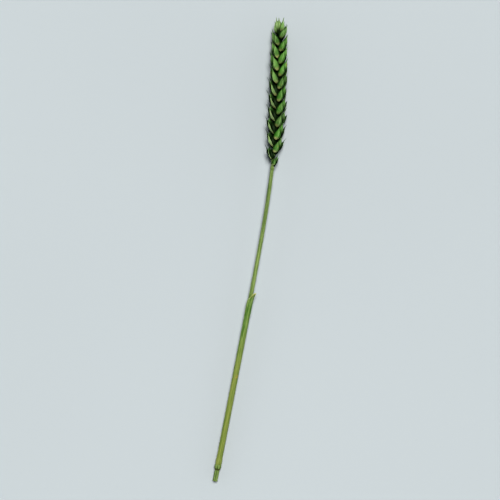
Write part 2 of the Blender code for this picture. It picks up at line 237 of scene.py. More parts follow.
# The inputs of the shared node groups, and what they hold where nothing else is given
BLACK = (0.0, 0.0, 0.0, 1.0)
GROUP_INPUTS = {
    "uneven_dye": {"deep": BLACK, "light": BLACK, "tone": 0.5, "patch_scale": 400.0, "patch_depth": 0.5},
    "nerve_lines": {"count": 7.0, "thinness": 6.0},
    "long_streaks": {"across": 30.0, "along": 2.0, "seed": 0.5},
    "dry_flecks": {"scale": 600.0, "limit": 0.66},
    "nearness": {"middle_width": 0.04, "edge_width": 0.10},
}

# The stage
FLOOR_HALF = 6.0
KEY_PLACE, KEY_ANGLE, KEY_COLOUR = (0.16, 0.66, 1.60), np.radians(32.0), (1.0, 0.985, 0.95)
SKY_COLOUR, SKY_FADE = (0.90, 0.97, 1.0), (0.05, 0.55)


def length_property(name, description, default):
    return FloatProperty(name=name, description=description, default=default, min=0.0, unit="LENGTH")


def count_property(name, description, default, least=1):
    return IntProperty(name=name, description=description, default=default, min=least)


def number_property(name, description, default):
    return FloatProperty(name=name, description=description, default=default, min=0.0)


def colour_property(name, description, default):
    return FloatVectorProperty(
        name=name, description=description, default=default, size=3, min=0.0, max=1.0, subtype="COLOR"
    )


class EarLook(PropertyGroup):
    """Sizes of the fine husks."""

    husk_wall: length_property("Husk wall", "Thickness of a husk along its keel", 0.00016)
    rings: count_property("Rings", "Rows of points along each husk", 24, least=8)
    across: count_property("Across", "Points across each husk's back", 33, least=9)
    crumple: length_property("Crumple", "Height of the waves in the husks", 0.00007)
    tone_spread: number_property("Tone spread", "How much the husks differ in colour", 0.32)
    hairs: count_property("Hairs", "Short hairs under each spikelet", 16)
    hair_length: length_property("Hair length", "Length of the short hairs on the axis", 0.0011)


class StalkLook(PropertyGroup):
    """Sizes of the stem's and the sheath's relief."""

    stem_ridges: count_property("Stem ridges", "Fine ridges round the stem", 15)
    ridge_height: length_property("Ridge height", "Height of the stem's ridges", 0.00002)
    sheath_veins: count_property("Sheath veins", "Veins round the leaf sheath", 17)
    vein_height: length_property("Vein height", "Height of the sheath's veins", 0.00004)


class PlantColours(PropertyGroup):
    """Colours of the plant."""

    # Husk, deep also colours the ear's axis, where it stands for painted shade between the spikelets
    husk_deep: colour_property("Husk, deep", "Green in a husk's streaks", (0.009, 0.040, 0.004))
    husk_light: colour_property("Husk, light", "Green of a husk's back", (0.056, 0.165, 0.024))
    keel_pale: colour_property("Keel", "Keels, nerves, edges and tips", (0.278, 0.350, 0.186))
    foot_cream: colour_property("Husk foot", "Pale foot of a husk", (0.400, 0.400, 0.210))
    # Painted shade: the share of its colour that a husk keeps where others cover it, on turned-under edges
    # and inner faces, and that the spikelet cores keep
    covered: colour_property("Covered", "Share that a covered husk keeps", (0.030, 0.085, 0.020))
    dry_tan: colour_property("Dry flecks", "Small dry spots", (0.330, 0.200, 0.065))
    stem_green: colour_property("Stem, green", "Stem in its furrows", (0.040, 0.075, 0.020))
    stem_straw: colour_property("Stem, straw", "Stem on its ridges", (0.178, 0.220, 0.094))
    joint_brown: colour_property("Joint", "Rings round the swollen joint", (0.050, 0.050, 0.014))
    cut_straw: colour_property("Cut", "Inside of the stem where it is cut", (0.420, 0.400, 0.190))
    sheath_green: colour_property("Sheath, green", "Sheath below its top", (0.042, 0.102, 0.019))
    sheath_olive: colour_property("Sheath, olive", "Sheath further down", (0.168, 0.182, 0.064))


class StageLook(PropertyGroup):
    """Floor, light and camera."""

    floor: colour_property("Floor", "Colour of the pale floor", (0.290, 0.310, 0.325))
    backdrop: colour_property("Backdrop", "Colour behind the floor's edge", (0.412, 0.437, 0.444))
    key_strength: number_property("Key light", "Strength of the main light", 4.1)
    top_sky: number_property("Sky above", "Brightness of the light from above", 0.10)
    side_sky: number_property("Sky round the sides", "Brightness of the light from low all round", 1.7)
    lens: number_property("Lens", "Focal length of the camera in millimetres", 85.0)
    margin: number_property("Margin", "Free share of the picture's height", 0.07)


def uneven(index, kind):
    """A fixed number from -1 to 1 for each index and kind: twice the fraction of a large sine, less one."""
    wave = np.sin(12.9898 * index + 78.233 * kind) * 43758.5453
    return 2.0 * (wave - np.floor(wave)) - 1.0


def smooth_step(value, low, high):
    """Zero below low, one above high, and three squares less two cubes of the share between."""
    share = np.clip((value - low) / (high - low), 0.0, 1.0)
    return share * share * (3.0 - 2.0 * share)


def together(*parts):
    """The parts, spread to one shape, as the last axis of one array."""
    return np.stack(np.broadcast_arrays(*parts), axis=-1)


def unit(vectors):
    return vectors / np.linalg.norm(vectors, axis=-1, keepdims=True)


def full_turn(sides):
    """The angles of the points round a tube."""
    return np.arange(sides) * 2.0 * np.pi / sides


def stations(stretches):
    """Even steps over each stretch in turn."""
    return np.concatenate([np.linspace(*stretch) for stretch in stretches])


def line_heading(along):
    """The line's direction: its lean and rise pass from the tip's to the stem's by half a tanh step."""
    share = 0.5 * (1.0 - np.tanh((along - BEND_AT) / BEND_REACH))
    lean = TIP_LEAN + (STEM_LEAN - TIP_LEAN) * share
    rise = TIP_RISE + (STEM_RISE - TIP_RISE) * share
    return together(np.sin(lean) * np.cos(rise), np.cos(lean) * np.cos(rise), np.sin(rise))


def line_place(along):
    """The point on the line: the running sum of its direction in short steps from the ear's foot."""
    steps = line_heading(0.5 * (LINE_KNOTS[1:] + LINE_KNOTS[:-1])) * np.diff(LINE_KNOTS)[:, None]
    track = np.concatenate((np.zeros((1, 3)), np.cumsum(steps, axis=0)))
    start = [np.interp(0.0, LINE_KNOTS, track[:, axis]) for axis in range(3)]
    track = track - start + EAR_FOOT
    return np.stack([np.interp(along, LINE_KNOTS, track[:, axis]) for axis in range(3)], axis=-1)


def line_frames(along, turn=0.0):
    """Row, line and fan directions as the columns of a matrix, turned about the line, and the place."""
    heading = line_heading(along)
    right = unit(np.cross(heading, (0.0, 0.0, 1.0)))
    up = np.cross(right, heading)
    turn = np.broadcast_to(turn, along.shape)[..., None]
    cosine, sine = np.cos(turn), np.sin(turn)
    return together(right * cosine + up * sine, heading, up * cosine - right * sine), line_place(along)


def ear_turn(along):
    """The ear's twist, in proportion to the distance from its foot."""
    return FOOT_TURN + (TIP_TURN - FOOT_TURN) * along / EAR_LENGTH


def spikelet_sizes():
    """Full size in the middle, less by a decaying share at the foot and by a rising one at the tip."""
    share = np.arange(SIDE_SPIKELETS) / (SIDE_SPIKELETS - 1)
    near_tip = np.maximum(0.0, (share - 1.0 + TIP_LOSS_REACH) / TIP_LOSS_REACH)
    sizes = 1.0 - FOOT_LOSS * np.exp(-share / FOOT_LOSS_REACH) - TIP_LOSS * near_tip**1.5
    return np.append(sizes, sizes[-1])


def spikelet_frames():
    """Axes, places, sizes and fan widths of the side spikelets, which lean off the line in turn, and of
    the top one."""
    index = np.arange(SIDE_SPIKELETS)
    along = FIRST_SPIKELET + index * INTERNODE
    axes, places = line_frames(along, ear_turn(along) + np.where(index % 2 == 0, 0.0, np.pi))
    places = places + axes[..., 0] * ROW_OFFSET
    spread = SPREAD + uneven(index, 1) * UNEVEN_TURN
    lean = np.zeros_like(axes)
    lean[:, 0, 0] = lean[:, 1, 1] = np.cos(spread)
    lean[:, 0, 1], lean[:, 1, 0] = np.sin(spread), -np.sin(spread)
    lean[:, 2, 2] = 1.0
    top = np.array([TOP_SPIKELET])
    top_axes, top_place = line_frames(top, ear_turn(top) + np.pi / 2)
    top_place = top_place - top_axes[..., 0] * FLORET_SEATS[-1].out
    sizes = spikelet_sizes()
    fans = np.append(np.sqrt(sizes[:-1]), TOP_FAN)
    return np.concatenate((axes @ lean, top_axes)), np.concatenate((places, top_place)), sizes, fans


def husk_frames(seats):
    """Axes, place, size and hand of every husk on these seats, one row for each spikelet and seat, and
    the share by which it stands edge on."""
    axes, places, sizes, fans = spikelet_frames()
    index = np.arange(len(sizes))
    found = []
    for seat in seats:
        wander = uneven(index, seat.number + 2) * UNEVEN_TURN
        first_turn = FIRST_TURN_AT_FOOT.get(seat.number, 0.0)
        edge_on = (1.0 - smooth_step(index / SIDE_SPIKELETS, *EDGE_ON_FADE)) * (first_turn > 0.0)
        splay = np.radians(seat.splay) * fans + wander + WANDER_SPLAY * uneven(index, seat.number + 27)
        lean = np.radians(seat.lean) + wander / 2 + EDGE_ON_LEAN * edge_on
        turn = np.radians(seat.turn) + WANDER_TURN * uneven(index, seat.number + 21) + first_turn * edge_on
        along = unit(together(np.sin(lean), np.cos(lean) * np.cos(splay), np.sin(splay)))
        side = unit(np.cross(along, together(np.cos(turn), 0.0, np.sin(turn))))
        own = together(side, along, np.cross(side, along))
        start = together(seat.out, seat.start, seat.across * fans) * sizes[:, None]
        place = places + np.einsum("nij,nj->ni", axes, start)
        size = sizes * seat.size * (1.0 + UNEVEN_SIZE * uneven(index, seat.number + 11))
        found.append((axes @ own, place, size, np.full_like(sizes, np.sign(seat.across)), edge_on))
    return [np.concatenate(part) for part in zip(*found, strict=True)]


def girth(reach, share, husk):
    """A husk's girth: a skewed sine raised to a power that rises to the tip, and a taper over the beak."""
    body_share = np.clip(reach / husk.length, 0.0, 1.0)
    body = np.sin(np.pi * body_share**SHOULDER) ** (FULLNESS + TIP_FULLNESS * body_share**2)
    return np.hypot(body, BEAK_GIRTH * smooth_step(share, 0.5, 0.8) * (1.0 - share) ** 0.75)


def back_height(angle, husk):
    """Height of a husk's back over the angle from its keel, in half depths.

    A folded back is one less a power of the angle's sine, a round one is a cosine, and the husk has a
    share of each. A narrow crest lies on the keel, and the nerves are a power of a cosine. Where the
    edge turns under, the depth is less.
    """
    sine, cosine = np.abs(np.sin(angle)), np.cos(angle)
    folded = np.where(cosine > 0.0, 1.0 - sine**FOLD_POWER, cosine)
    height = husk.fold * folded + (1.0 - husk.fold) * cosine
    height = np.where(height < 0.0, height * INNER_SHARE, height)
    nerves = np.maximum(np.cos(np.pi * husk.nerves * angle / husk.wrap), 0.0) ** 3
    return height + husk.keel * np.exp(-((angle / CREST_ANGLE) ** 2)) + husk.nerve * nerves


def husk_rings(husk, hands, edge_on, look):
    """Closed rings of thin boat-shaped scales, one row for each scale, each in its own frame, and the
    places of their points across and along.

    Along a scale goes the share of its length. Across it goes an angle either side of the keel: the
    place across is the half width times the girth and the angle's sine, and the height is the half
    depth times the girth and the back's height, both less where it stands edge on. Two slow sines, with
    a phase of the scale's own, make it crumpled. The way back is the same arc drawn in towards the
    middle by the wall, which thins to the edges.
    """
    index = np.arange(len(hands))
    wander = [uneven(index, kind)[:, None, None] for kind in (31, 32, 33, 34)]
    share = 0.5 * (1.0 - np.cos(np.pi * (np.arange(look.rings) + 1.0) / (look.rings + 1.0)))[:, None]
    back = np.linspace(1.0, -1.0, INNER_POINTS)[1:-1]
    place = np.concatenate((np.linspace(-1.0, 1.0, look.across), back))
    back_wall = EDGE_WALL + (1.0 - EDGE_WALL) * np.cos(back * np.pi / 2)
    wall = look.husk_wall * np.concatenate((np.zeros(look.across), back_wall))
    angle = place * husk.wrap
    reach = (husk.length + husk.beak * (1.0 + UNEVEN_BEAK * wander[0])) * share
    round_share = girth(reach, share, husk)
    drawn_in = 1.0 - np.minimum(wall / (round_share * husk.width / 2 + 1e-9), 0.5)
    slim = 1.0 - EDGE_ON_NARROWING * edge_on[:, None, None]
    width = husk.width * (1.0 + UNEVEN_WIDTH * wander[1]) * slim
    sideways = np.sin(angle) + hands[:, None, None] * husk.shift * np.cos(angle)
    x = round_share * width / 2 * sideways * drawn_in
    x = x + TIP_SWAY * wander[2] * share**2
    x = x + look.crumple * round_share * np.sin(5.0 * share + 3.0 * wander[1])
    z = round_share * husk.depth / 2 * back_height(angle, husk) * drawn_in * slim
    slant = WAVE_SLANT * place * (1.0 + UNEVEN_SLANT * wander[3])
    wave = np.sin(2.0 * np.pi * (WAVE_TURNS * share + 0.5 * wander[2]) + slant)
    ripple = np.sin(2.0 * np.pi * (RIPPLE_TURNS * share + 0.5 * wander[3]) - RIPPLE_SLANT * place)
    z = z + look.crumple * round_share * (wave + RIPPLE_SHARE * ripple)
    over = np.clip((reach - husk.length) / husk.beak, 0.0, 1.2)
    z = z + husk.bow * np.sin(np.pi * np.clip(reach / husk.length, 0.0, 1.0)) + BEAK_LEAN * over**1.5
    z = z + np.sign(husk.depth) * TIP_BEND * smooth_step(share, *TIP_BEND_FADE)
    return together(x, reach, z), 0.5 + 0.5 * place, share[:, 0]


Shape = namedtuple("Shape", "points quads triangles uv")


def ring_quads(rings, around, first):
    """Quads between closed rings whose points follow one another, from the first."""
    ring = first + np.arange(rings - 1)[:, None] * around
    step = np.arange(around)
    after = (step + 1) % around
    return together(ring + step, ring + after, ring + around + after, ring + around + step).reshape(-1, 4)


def ring_faces(rings, around, copies):
    """Quads between closed rings and triangles to the two poles, repeated for each copy."""
    quads = ring_quads(rings, around, 1)
    step = np.arange(around)
    after = (step + 1) % around
    last, top = 1 + (rings - 1) * around, rings * around + 1
    triangles = np.concatenate((together(0, 1 + after, 1 + step), together(last + step, last + after, top)))
    shift = (np.arange(copies) * (top + 1))[:, None, None]
    return (quads + shift).reshape(-1, 4), (triangles + shift).reshape(-1, 3)


def closed_tubes(rings, feet, tips, around, along, ends=(0.0, 1.0)):
    """Tubes of closed rings, each ending in a point at its foot and one at its tip. The rings' axes are
    the tube, the ring, the point round it, and x, y, z. The ends are the poles' places along."""
    copies, count, sides = rings.shape[:3]
    points = np.concatenate((feet[:, None], rings.reshape(copies, -1, 3), tips[:, None]), axis=1)
    uv = together(around, along[:, None]).reshape(-1, 2)
    uv = np.concatenate(([(0.5, ends[0])], uv, [(0.5, ends[1])]))
    return Shape(points.reshape(-1, 3), *ring_faces(count, sides, copies), np.tile(uv, (copies, 1)))


def grown_rings(rings, around, along, axes, places, sizes):
    """Ringed shapes, each set in its own frame: it starts there and ends a little past its last ring."""
    rings = np.einsum("nij,nrpj->nrpi", axes, rings * sizes[:, None, None, None]) + places[:, None, None]
    middles = rings[:, -2:].mean(axis=2)
    tips = middles[:, 1] + (middles[:, 1] - middles[:, 0]) * TIP_STEP
    return closed_tubes(rings, places, tips, around, along)


def held_inside(points):
    """Points that would pass a side of the solid's box are eased back: within the soft limit of a side,
    the distance to it falls off as an exponential that never reaches it."""
    held = points.copy()
    for axis, limit in enumerate(SOFT_LIMITS):
        for side, way in ((SOLID_LOW[axis], 1.0), (SOLID_HIGH[axis], -1.0)):
            free = way * (held[..., axis] - side)
            eased = limit * np.exp(np.minimum(free / limit - 1.0, 0.0))
            held[..., axis] = np.where(free < limit, side + way * eased, held[..., axis])
    return held


def signed_volume(points, triangles):
    a, b, c = (points[triangles[:, corner]] for corner in range(3))
    return float(np.einsum("ni,ni->", a, np.cross(b, c)))


def add_piece(name, shape, looks, material):
    """Puts a shape in a mesh whose faces point outwards, hangs the piece on the root body and hides the
    imported part that it stands for. The looks are named shares for each point, which the material reads."""
    node, slot = STANDS_FOR[name.split("_")[0]]
    points = held_inside(shape.points) if node == "ear" else shape.points.copy()
    points[:, 2] = np.maximum(points[:, 2], FLOOR_HAIR)
    quads, triangles = shape.quads, shape.triangles
    split = np.concatenate((triangles, quads[:, (0, 1, 2)], quads[:, (0, 2, 3)]))
    if signed_volume(points - points.mean(axis=0), split) < 0.0:
        quads, triangles = quads[:, ::-1], triangles[:, ::-1]
    mesh = bpy.data.meshes.new(name)
    mesh.from_pydata(points, [], quads.tolist() + triangles.tolist())
    layer = mesh.uv_layers.new(name="surface")
    loops = np.empty(len(mesh.loops), dtype=np.int32)
    mesh.loops.foreach_get("vertex_index", loops)
    layer.data.foreach_set("uv", shape.uv[loops].astype(np.float32).ravel())
    for look, shares in looks.items():
        layer = mesh.attributes.new(look, "FLOAT", "POINT")
        layer.data.foreach_set("value", np.broadcast_to(shares, len(points)).astype(np.float32))
    mesh.shade_smooth()
    mesh.materials.append(material)
    mesh.validate()
    piece = bpy.data.objects.new(name, mesh)
    bpy.context.scene.collection.objects.link(piece)
    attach(piece, "root")
    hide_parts(node)


def add_node(tree, kind, **settings):
    """A node with its plain settings, to the right of those before it."""
    made = tree.nodes.new(kind)
    made.location = (200 * len(tree.nodes), 0)
    for key, value in settings.items():
        setattr(made, key, value)
    return made


def feed(tree, value, target):
    """Links a socket to the target, or sets the target to a plain value."""
    if isinstance(value, bpy.types.NodeSocket):
        tree.links.new(value, target)
    elif target.type == "RGBA" and len(value) == 3:
        target.default_value = (*value, 1.0)
    else:
        target.default_value = value


def feed_all(tree, node, **values):
    """Feeds a plain node's inputs, whose names have a capital for each word, and gives the node."""
    for name, value in values.items():
        feed(tree, value, node.inputs[name.replace("_", " ").title()])
    return node


def maths(tree, operation, *values, clamp=False):
    """One arithmetic step on sockets or plain values."""
    step = add_node(tree, "ShaderNodeMath", operation=operation, use_clamp=clamp)
    for value, target in zip(values, step.inputs, strict=False):
        feed(tree, value, target)
    return step.outputs[0]


def blend(tree, low, high, share, mode="MIX"):
    """Mixes two colours. Each of low, high and share is a socket or a plain value."""
    mix = add_node(tree, "ShaderNodeMix", data_type="RGBA", blend_type=mode)
    for key, value in ((0, share), (6, low), (7, high)):
        feed(tree, value, mix.inputs[key])
    return mix.outputs[2]


def fade(tree, value, low, high):
    """A smooth rise from 0 at low to 1 at high."""
    ramp = add_node(tree, "ShaderNodeMapRange", interpolation_type="SMOOTHSTEP")
    return feed_all(tree, ramp, value=value, from_min=low, from_max=high).outputs["Result"]


def noise(tree, where, scale, detail):
    made = add_node(tree, "ShaderNodeTexNoise")
    return feed_all(tree, made, vector=where, scale=scale, detail=detail).outputs["Fac"]


def object_place(tree):
    return add_node(tree, "ShaderNodeTexCoord").outputs["Object"]


def surface_place(tree):
    """The places across and along a surface, each from 0 to 1."""
    where = add_node(tree, "ShaderNodeUVMap", uv_map="surface")
    parts = feed_all(tree, add_node(tree, "ShaderNodeSeparateXYZ"), vector=where.outputs["UV"])
    return parts.outputs["X"], parts.outputs["Y"]


def looks_of(tree, *names):
    """The named shares that the piece has for each point."""
    return [add_node(tree, "ShaderNodeAttribute", attribute_name=name).outputs["Fac"] for name in names]


def uneven_dye(tree, deep, light, tone, patch_scale, patch_depth):
    """Colour that drifts between two greens: a slow noise, a fine one and the piece's own tone."""
    where = object_place(tree)
    slow = noise(tree, where, patch_scale, 3.0)
    fine = noise(tree, where, maths(tree, "MULTIPLY", patch_scale, 6.0), 4.0)
    drift = maths(tree, "SUBTRACT", maths(tree, "MULTIPLY_ADD", fine, 0.45, slow), 0.725)
    share = maths(tree, "ADD", maths(tree, "MULTIPLY", drift, patch_depth), tone, clamp=True)
    return {"colour": blend(tree, deep, light, share), "grain": fine}


def nerve_lines(tree, count, thinness):
    """Fine lines that run the length of a surface: a power of a cosine of the place across it."""
    across, _ = surface_place(tree)
    turn = maths(tree, "MULTIPLY", maths(tree, "SUBTRACT", across, 0.5), count)
    wave = maths(tree, "COSINE", maths(tree, "MULTIPLY", turn, 2.0 * np.pi))
    return {"lines": maths(tree, "POWER", maths(tree, "MULTIPLY_ADD", wave, 0.5, 0.5), thinness)}


def long_streaks(tree, across, along, seed):
    """Streaks drawn out along a surface: a noise on its place across and along, a different one for
    each seed."""
    x, y = surface_place(tree)
    joined = add_node(tree, "ShaderNodeCombineXYZ")
    places = (maths(tree, "MULTIPLY", *pair) for pair in ((x, across), (y, along), (seed, SEED_STEP)))
    for place, target in zip(places, joined.inputs, strict=True):
        feed(tree, place, target)
    return {"streaks": fade(tree, noise(tree, joined.outputs[0], 1.0, 3.0), 0.32, 0.68)}


def dry_flecks(tree, scale, limit):
    """Small dry spots: where a noise on object coordinates rises over a limit."""
    full = maths(tree, "ADD", limit, 0.07)
    return {"flecks": fade(tree, noise(tree, object_place(tree), scale, 2.5), limit, full)}


def nearness(tree, middle_width, edge_width):
    """The place along a surface, and how near its middle line and its edges are."""
    across, along = surface_place(tree)
    off = maths(tree, "ABSOLUTE", maths(tree, "SUBTRACT", across, 0.5))
    from_middle = maths(tree, "DIVIDE", off, middle_width)
    from_edge = maths(tree, "DIVIDE", maths(tree, "SUBTRACT", 0.5, off), edge_width)
    return {
        "along": along,
        "middle": maths(tree, "SUBTRACT", 1.0, from_middle, clamp=True),
        "edge": maths(tree, "SUBTRACT", 1.0, from_edge, clamp=True),
    }


def new_group(fill):
    """A node group with an input for each value that the filling function takes, and an output for each
    value that it gives."""
    group = bpy.data.node_groups.new(fill.__name__, "ShaderNodeTree")
    for name, value in GROUP_INPUTS[fill.__name__].items():
        kind = "NodeSocketColor" if isinstance(value, tuple) else "NodeSocketFloat"
        made = group.interface.new_socket(name=name, in_out="INPUT", socket_type=kind)
        made.default_value = value
    start = add_node(group, "NodeGroupInput")
    given = fill(group, **{socket.name: socket for socket in start.outputs if socket.name})
    for name, socket in given.items():
        kind = "NodeSocketColor" if socket.type == "RGBA" else "NodeSocketFloat"
        group.interface.new_socket(name=name, in_out="OUTPUT", socket_type=kind)
    end = add_node(group, "NodeGroupOutput")
    for name, socket in given.items():
        group.links.new(socket, end.inputs[name])
    return group


def use_group(tree, fill, **values):
    """The outputs of the shared group that the function fills, made the first time it is asked for. Its
    inputs are linked or set by name."""
    group = bpy.data.node_groups.get(fill.__name__) or new_group(fill)
    made = add_node(tree, "ShaderNodeGroup", node_tree=group)
    for name, value in values.items():
        feed(tree, value, made.inputs[name])
    return made.outputs


def new_material(name):
    material = bpy.data.materials.new(name)
    material.use_nodes = True
    shader = material.node_tree.nodes["Principled BSDF"]
    shader.inputs["Specular IOR Level"].default_value = REFLECTION
    return material, material.node_tree, shader


def green_surface(tree, cover, deep, light, tone, seed, nerves):
    """Streaks of two greens along a surface: the tone is raised on a streak and lowered beside it. Gives
    the colour, the fine grain, the lines of the nerves and the streaks."""
    streaks = use_group(tree, long_streaks, across=cover.across, along=cover.along, seed=seed)["streaks"]
    tone = maths(tree, "MULTIPLY_ADD", streaks, cover.strength, tone)
    tone = maths(tree, "SUBTRACT", tone, cover.strength / 2)
    patches = {"patch_scale": cover.patch_scale, "patch_depth": cover.patch_depth}
    dye = use_group(tree, uneven_dye, deep=deep, light=light, tone=tone, **patches)
    lines = use_group(tree, nerve_lines, count=nerves, thinness=cover.thinness)["lines"]
    return dye["colour"], dye["grain"], lines, streaks


def flecked(tree, cover, colour):
    """The colour with small dry spots on it."""
    flecks = use_group(tree, dry_flecks, scale=cover.fleck_scale, limit=cover.fleck_limit)["flecks"]
    dry_tan = bpy.context.scene.wheat_colours.dry_tan
    return blend(tree, colour, dry_tan, maths(tree, "MULTIPLY", flecks, cover.fleck_share))


def finish_shader(tree, shader, cover, colour, streaks, height):
    """Links the colour, a roughness that is higher on the streaks, and the relief."""
    roughness = maths(tree, "MULTIPLY_ADD", streaks, cover.streak_roughness, cover.roughness)
    bump = add_node(tree, "ShaderNodeBump")
    feed_all(tree, bump, strength=cover.relief, distance=cover.relief_height, height=height)
    normal = bump.outputs["Normal"]
    feed_all(tree, shader, base_color=colour, roughness=roughness, normal=normal)


def husk_material(name, nerves, nerve_share):
    """Green chaff: streaks of two greens, a painted highlight on a broad band along the middle of the back,
    paler keel, nerves and edges, a creamy foot, a pale tip, dry flecks, and painted shade where one husk
    covers another, on turned-under edges and on inner faces."""
    colours = bpy.context.scene.wheat_colours
    material, tree, shader = new_material(name)
    tone, bare, dry, pale = looks_of(tree, "tone", "bare", "dry", "pale")
    deep, light = colours.husk_deep, colours.husk_light
    colour, grain, lines, streaks = green_surface(tree, HUSK_COVER, deep, light, tone, dry, nerves)
    place = use_group(tree, nearness, middle_width=0.030, edge_width=0.09)
    # Painted highlight: a broad band along the middle of each husk's back is made paler on its streaks
    crest = use_group(tree, nearness, middle_width=0.30)["middle"]
    # The 'pale' look holds uneven paleness of the husk's own, paler top spikelets, and a painted highlight
    # where a glume stands edge on
    pale_marks = (
        (pale, 1.0),
        (maths(tree, "MULTIPLY", crest, streaks), 0.42),
        (lines, nerve_share),
        (place["middle"], 0.62),
        (place["edge"], 0.28),
        (fade(tree, place["along"], 0.86, 1.0), 0.30),
    )
    for mark, share in pale_marks:
        colour = blend(tree, colour, colours.keel_pale, maths(tree, "MULTIPLY", mark, share))
    foot = maths(tree, "MULTIPLY", fade(tree, place["along"], 0.34, 0.02), dry)
    foot = maths(tree, "MULTIPLY", foot, maths(tree, "ADD", grain, 0.60), clamp=True)
    colour = flecked(tree, HUSK_COVER, blend(tree, colour, colours.foot_cream, foot))
    # Painted shade: where the 'bare' look is low, on covered feet, turned-under edges, inner faces, edge-on
    # lemmas and the cores, the colour is multiplied down towards the covered share
    kept = blend(tree, colours.covered, (1.0, 1.0, 1.0), bare)
    colour = blend(tree, colour, kept, 1.0, mode="MULTIPLY")
    height = maths(tree, "MULTIPLY_ADD", streaks, 0.6, lines)
    height = maths(tree, "MULTIPLY_ADD", grain, 0.25, height)
    finish_shader(tree, shader, HUSK_COVER, colour, streaks, height)
    return material


def stalk_material(name, green, straw, ridges, olive=None, marks=None):
    """Plant stalk: fine lines and streaks of two greens along it, dry flecks, straw where it is cut or
    torn, for a sheath an olive that takes over down its length, and marks of a function's own."""
    colours = bpy.context.scene.wheat_colours
    material, tree, shader = new_material(name)
    tone, dry = looks_of(tree, "tone", "dry")
    parts = green_surface(tree, STALK_COVER, green, straw, tone, STALK_SEED, ridges)
    colour, grain, lines, streaks = parts
    colour = blend(tree, colour, straw, maths(tree, "MULTIPLY", lines, 0.38))
    if olive is not None:
        place = use_group(tree, nearness)
        down = fade(tree, place["along"], 0.95, 0.45)
        down = maths(tree, "MULTIPLY", down, maths(tree, "MULTIPLY_ADD", streaks, 0.45, 0.50))
        colour = blend(tree, colour, olive, down)
        colour = blend(tree, colour, straw, maths(tree, "MULTIPLY", place["edge"], 0.5))
    colour = blend(tree, flecked(tree, STALK_COVER, colour), colours.cut_straw, dry)
    if marks is not None:
        colour = marks(tree, colour)
    height = maths(tree, "MULTIPLY_ADD", grain, 0.5, lines)
    finish_shader(tree, shader, STALK_COVER, colour, streaks, height)
    return material


def add_scales(kind):
    """All the scales of one kind, each on its seat. A scale is deeper in colour towards its tip, and
    painted shade darkens a covered foot, a turned-under edge and the inner face, which keep a share of
    their colour. Where a scale
    stands edge on it gets painted light: a painted highlight on glumes, painted shade on lemmas and paleas."""
    look = bpy.context.scene.wheat_ear
    axes, places, sizes, hands, edge_on = husk_frames(kind.seats)
    rings, across, along = husk_rings(kind.husk, hands, edge_on, look)
    shape = grown_rings(rings, across, along, axes, places, sizes)
    index = np.arange(len(rings))
    spikelet = index % (SIDE_SPIKELETS + 1) / SIDE_SPIKELETS
    # The edge-on term is painted light: it raises the tone and paleness of edge-on glumes as a painted
    # highlight, and lowers them on lemmas and paleas as painted shade
    tone = kind.tone + look.tone_spread * uneven(index, 10) + kind.edge_on_pale * edge_on
    pale = UNEVEN_PALE * uneven(index, 8) + kind.edge_on_pale * edge_on
    pale = pale + TIP_PALE * smooth_step(spikelet, *TIP_PALE_FADE)
    each = len(shape.points) // len(rings)
    edge_on, along = edge_on[:, None, None], along[:, None]
    # Painted shade: a covered foot, a turned-under edge and the inner face keep only a share of their
    # colour
    hidden = kind.hidden * (1.0 - smooth_step(spikelet, *UNCOVERED_FADE))[:, None, None]
    tucked = 1.0 - kind.tucked * smooth_step(np.abs(across - 0.5), *TUCK_FADE) * (1.0 - edge_on)
    inside = INNER_LIGHT + INNER_TIP_LIGHT * smooth_step(along, *INNER_FADE)
    shown = np.where(np.arange(len(across)) < look.across, tucked, inside)
    bare = smooth_step(along, hidden, hidden + COVER_REACH) * shown
    # Painted shade on edge-on lemmas and paleas
    bare = bare * np.clip(1.0 + kind.edge_on_pale * edge_on, 0.0, 1.0)
    bare = bare.reshape(len(rings), -1)
    looks = {
        "tone": np.repeat(tone, each) + FOOT_TO_TIP_TONE * (0.5 - shape.uv[:, 1]),
        "dry": np.repeat(np.clip(FOOT_CREAM + UNEVEN_CREAM * uneven(index, 7), 0.0, 1.0), each),
        "pale": np.repeat(np.clip(pale, 0.0, 1.0), each),
        "bare": np.concatenate((bare[:, :1], bare, bare[:, -1:]), axis=1).ravel(),
    }
    material = husk_material(kind.material, float(kind.husk.nerves), kind.nerve_share)
    add_piece(kind.piece, shape, looks, material)


def inner_radius(along):
    """The stem's plain radius: it widens evenly down to the sheath's top and narrows inside the sheath."""
    bare = np.clip(along / SHEATH_TOP, 0.0, 1.0)
    plain = STEM_TOP_RADIUS + (STEM_MIDDLE_RADIUS - STEM_TOP_RADIUS) * bare
    inside = np.clip((SHEATH_TOP - along) / SHEATH_TAPER_REACH, 0.0, 1.0)
    return plain + (SHEATHED_RADIUS - plain) * inside


def stem_radius(along):
    """The plain radius, a stouter stub below the joint, and a swelling that is flat on top and steep."""
    below = 0.5 * (1.0 - np.tanh((along - JOINT_AT) / (JOINT_REACH / 2)))
    plain = inner_radius(along)
    plain = plain + (STUB_RADIUS - plain) * below
    return plain + (JOINT_RADIUS - plain) * np.exp(-(((along - JOINT_AT) / JOINT_REACH) ** 4))


def stalk_tube(along, radius_across, radius_up, angle, share, ends, offset=0.0):
    """A tube round the line: each point is the line's place plus the two radii along row and fan. The
    ends are the distances along the line of its two poles, the share is the rings' place along it."""
    axes, places = line_frames(along)
    places = places + axes[..., 0] * np.asarray(offset)[..., None]
    across = (radius_across * np.cos(angle))[..., None] * axes[:, None, :, 0]
    up = (radius_up * np.sin(angle))[..., None] * axes[:, None, :, 2]
    feet = line_place(np.array(ends))
    rings = (places[:, None, :] + across + up)[None]
    return closed_tubes(rings, feet[:1], feet[1:], angle / (2.0 * np.pi), share, (share[0], share[-1]))


